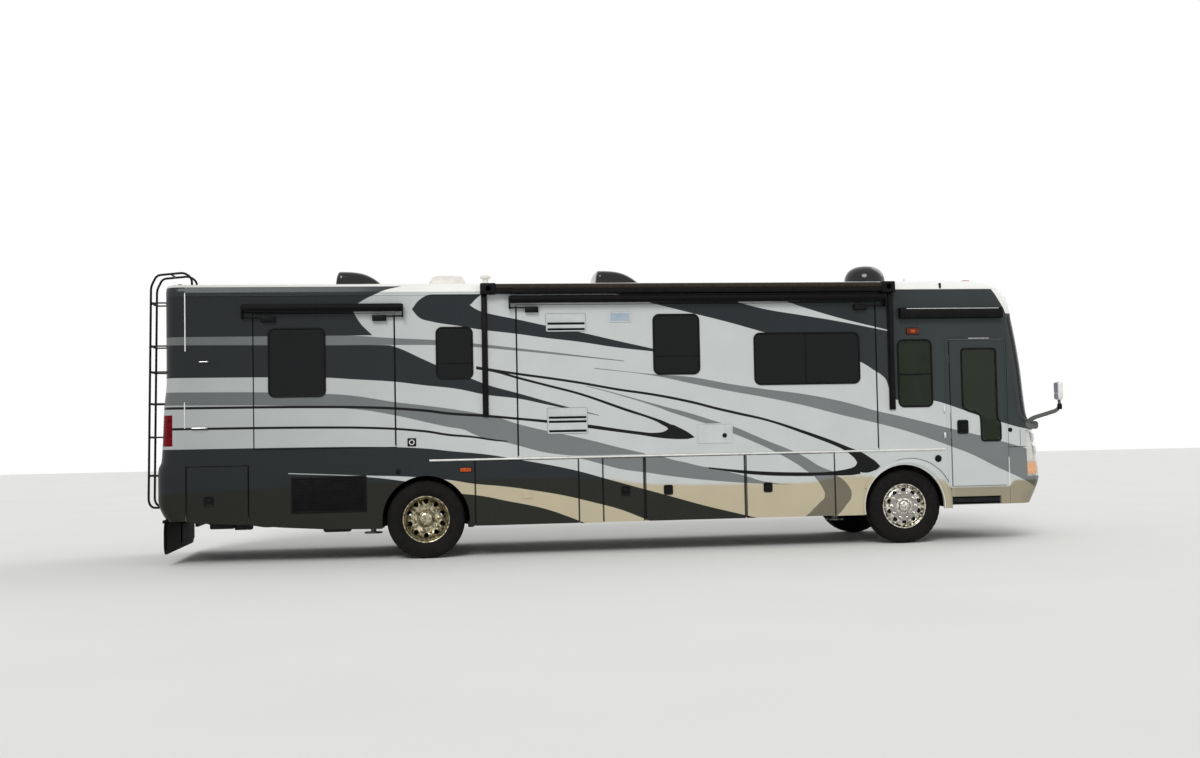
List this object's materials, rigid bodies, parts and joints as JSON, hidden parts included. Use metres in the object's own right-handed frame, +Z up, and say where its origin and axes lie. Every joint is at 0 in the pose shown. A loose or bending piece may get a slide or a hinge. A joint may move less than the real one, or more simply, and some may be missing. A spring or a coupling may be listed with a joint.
{
  "type": "motorhome",
  "caption": "Long rear-engined motorhome with slide-outs, awnings, baggage doors, entry door, steered front wheels, twin rear wheels and levelling jacks",
  "frame": {"origin": "on the ground under the middle of the overall length and width, wheels on the ground", "axes": "+X forward along the length, +Y to the vehicle's left, +Z up"},
  "size_m": [12.0798, 3.46, 3.89],
  "materials": {
    "chassis_steel": "matt black painted steel and castings",
    "jack_steel": "dull plated steel",
    "floor_composite": "grey coated panels",
    "well_plastic": "black liner and flaps",
    "body_paint": "silver-white gloss paint with charcoal and grey bands",
    "tinted_glass": "dark tinted glass",
    "lamp_lens": "clear lens over bright reflectors",
    "red_lens": "dark red lens",
    "amber_lens": "amber lens",
    "black_metal": "satin black",
    "white_plastic": "white moulded plastic",
    "dome_plastic": "gloss black dome",
    "step_metal": "dark ribbed step",
    "tyre_rubber": "black tyre rubber",
    "wheel_alloy": "polished",
    "dash_plastic": "grained dark plastic",
    "seat_leather": "beige leather"
  },
  "bodies": {
    "coach": {"chassis_frame": "chassis_steel", "frame_fittings": "chassis_steel", "axles": "chassis_steel", "powertrain": "chassis_steel", "floor_deck": "floor_composite", "storage_bays": "floor_composite", "wheel_wells": "well_plastic", "right_wall": "body_paint", "left_wall": "body_paint", "right_skirt": "body_paint", "left_skirt": "body_paint", "roof": "body_paint", "front_cap": "body_paint", "front_lower_cap": "body_paint", "rear_cap": "body_paint", "wall_windows": "tinted_glass", "windscreen": "tinted_glass", "headlamps": "lamp_lens", "tail_lamps": "red_lens", "marker_lamps": "amber_lens", "ladder": "black_metal", "awnings": "black_metal", "mirrors": "black_metal", "roof_air_units": "black_metal", "roof_vents": "white_plastic", "satellite_dome": "dome_plastic", "dashboard": "dash_plastic", "cab_seats": "seat_leather"},
    "left_knuckle": {"left_knuckle": "chassis_steel"},
    "right_knuckle": {"right_knuckle": "chassis_steel"},
    "front_left_wheel": {"front_left_tyre": "tyre_rubber", "front_left_rim": "wheel_alloy"},
    "front_right_wheel": {"front_right_tyre": "tyre_rubber", "front_right_rim": "wheel_alloy"},
    "rear_left_wheels": {"rear_left_tyres": "tyre_rubber", "rear_left_rims": "wheel_alloy"},
    "rear_right_wheels": {"rear_right_tyres": "tyre_rubber", "rear_right_rims": "wheel_alloy"},
    "main_slide": {"main_slide": "body_paint", "main_slide_windows": "tinted_glass", "main_slide_awning": "black_metal"},
    "bedroom_slide": {"bedroom_slide": "body_paint", "bedroom_slide_windows": "tinted_glass", "bedroom_slide_awning": "black_metal"},
    "entry_door": {"entry_door": "body_paint", "entry_door_window": "tinted_glass"},
    "entry_step": {"entry_step": "step_metal"},
    "engine_door": {"engine_door": "body_paint"},
    "right_rear_door": {"right_rear_door": "body_paint"},
    "right_bay_door_1": {"right_bay_door_1": "body_paint"},
    "right_bay_door_2": {"right_bay_door_2": "body_paint"},
    "right_bay_door_3": {"right_bay_door_3": "body_paint"},
    "right_bay_door_4": {"right_bay_door_4": "body_paint"},
    "left_bay_door_1": {"left_bay_door_1": "body_paint"},
    "left_bay_door_2": {"left_bay_door_2": "body_paint"},
    "left_bay_door_3": {"left_bay_door_3": "body_paint"},
    "jack_front_left": {"jack_front_left": "jack_steel"},
    "jack_front_right": {"jack_front_right": "jack_steel"},
    "jack_rear_left": {"jack_rear_left": "jack_steel"},
    "jack_rear_right": {"jack_rear_right": "jack_steel"}
  },
  "joints": [
    {"name": "left_steer", "type": "hinge", "parent": "coach", "child": "left_knuckle", "pos_m": [3.868, 0.93, 0.5], "axis": [0, 0, 1], "range_deg": [-38, 38]},
    {"name": "front_left_spin", "type": "hinge", "parent": "left_knuckle", "child": "front_left_wheel", "pos_m": [3.868, 1.067, 0.5], "axis": [0, 1, 0], "continuous": true},
    {"name": "rear_left_spin", "type": "hinge", "parent": "coach", "child": "rear_left_wheels", "pos_m": [-2.532, 0.932, 0.5], "axis": [0, 1, 0], "continuous": true},
    {"name": "right_steer", "type": "hinge", "parent": "coach", "child": "right_knuckle", "pos_m": [3.868, -0.93, 0.5], "axis": [0, 0, 1], "range_deg": [-38, 38]},
    {"name": "front_right_spin", "type": "hinge", "parent": "right_knuckle", "child": "front_right_wheel", "pos_m": [3.868, -1.067, 0.5], "axis": [0, 1, 0], "continuous": true},
    {"name": "rear_right_spin", "type": "hinge", "parent": "coach", "child": "rear_right_wheels", "pos_m": [-2.532, -0.932, 0.5], "axis": [0, 1, 0], "continuous": true},
    {"name": "main_slide_out", "type": "slide", "parent": "coach", "child": "main_slide", "axis": [0, -1, 0], "range_m": [0, 0.54]},
    {"name": "bedroom_slide_out", "type": "slide", "parent": "coach", "child": "bedroom_slide", "axis": [0, -1, 0], "range_m": [0, 0.54]},
    {"name": "entry_door_hinge", "type": "hinge", "parent": "coach", "child": "entry_door", "pos_m": [4.518, -1.279, 1.738], "axis": [0, 0, 1], "range_deg": [-100, 0]},
    {"name": "entry_step_slide", "type": "slide", "parent": "coach", "child": "entry_step", "axis": [0, -1, 0], "range_m": [0, 0.26]},
    {"name": "engine_door_hinge", "type": "hinge", "parent": "coach", "child": "engine_door", "pos_m": [-5.88, 0, 1.716], "axis": [0, 1, 0], "range_deg": [0, 75]},
    {"name": "right_rear_door_hinge", "type": "hinge", "parent": "coach", "child": "right_rear_door", "pos_m": [-5.1245, -1.269, 1.228], "axis": [1, 0, 0], "range_deg": [-80, 0]},
    {"name": "right_bay_door_1_hinge", "type": "hinge", "parent": "coach", "child": "right_bay_door_1", "pos_m": [-1.231, -1.269, 1.228], "axis": [1, 0, 0], "range_deg": [-80, 0]},
    {"name": "right_bay_door_2_hinge", "type": "hinge", "parent": "coach", "child": "right_bay_door_2", "pos_m": [0.028, -1.269, 1.228], "axis": [1, 0, 0], "range_deg": [-80, 0]},
    {"name": "right_bay_door_3_hinge", "type": "hinge", "parent": "coach", "child": "right_bay_door_3", "pos_m": [0.983, -1.269, 1.228], "axis": [1, 0, 0], "range_deg": [-80, 0]},
    {"name": "right_bay_door_4_hinge", "type": "hinge", "parent": "coach", "child": "right_bay_door_4", "pos_m": [2.273, -1.269, 1.228], "axis": [1, 0, 0], "range_deg": [-80, 0]},
    {"name": "left_bay_door_1_hinge", "type": "hinge", "parent": "coach", "child": "left_bay_door_1", "pos_m": [-1.083, 1.269, 1.228], "axis": [1, 0, 0], "range_deg": [0, 80]},
    {"name": "left_bay_door_2_hinge", "type": "hinge", "parent": "coach", "child": "left_bay_door_2", "pos_m": [0.532, 1.269, 1.228], "axis": [1, 0, 0], "range_deg": [0, 80]},
    {"name": "left_bay_door_3_hinge", "type": "hinge", "parent": "coach", "child": "left_bay_door_3", "pos_m": [2.103, 1.269, 1.228], "axis": [1, 0, 0], "range_deg": [0, 80]},
    {"name": "jack_front_left_extend", "type": "slide", "parent": "coach", "child": "jack_front_left", "axis": [0, 0, -1], "range_m": [0, 0.3]},
    {"name": "jack_front_right_extend", "type": "slide", "parent": "coach", "child": "jack_front_right", "axis": [0, 0, -1], "range_m": [0, 0.3]},
    {"name": "jack_rear_left_extend", "type": "slide", "parent": "coach", "child": "jack_rear_left", "axis": [0, 0, -1], "range_m": [0, 0.3]},
    {"name": "jack_rear_right_extend", "type": "slide", "parent": "coach", "child": "jack_rear_right", "axis": [0, 0, -1], "range_m": [0, 0.3]}
  ],
  "couplings": [
    {"joint": "right_steer", "follows": "left_steer", "ratio": 1}
  ]
}
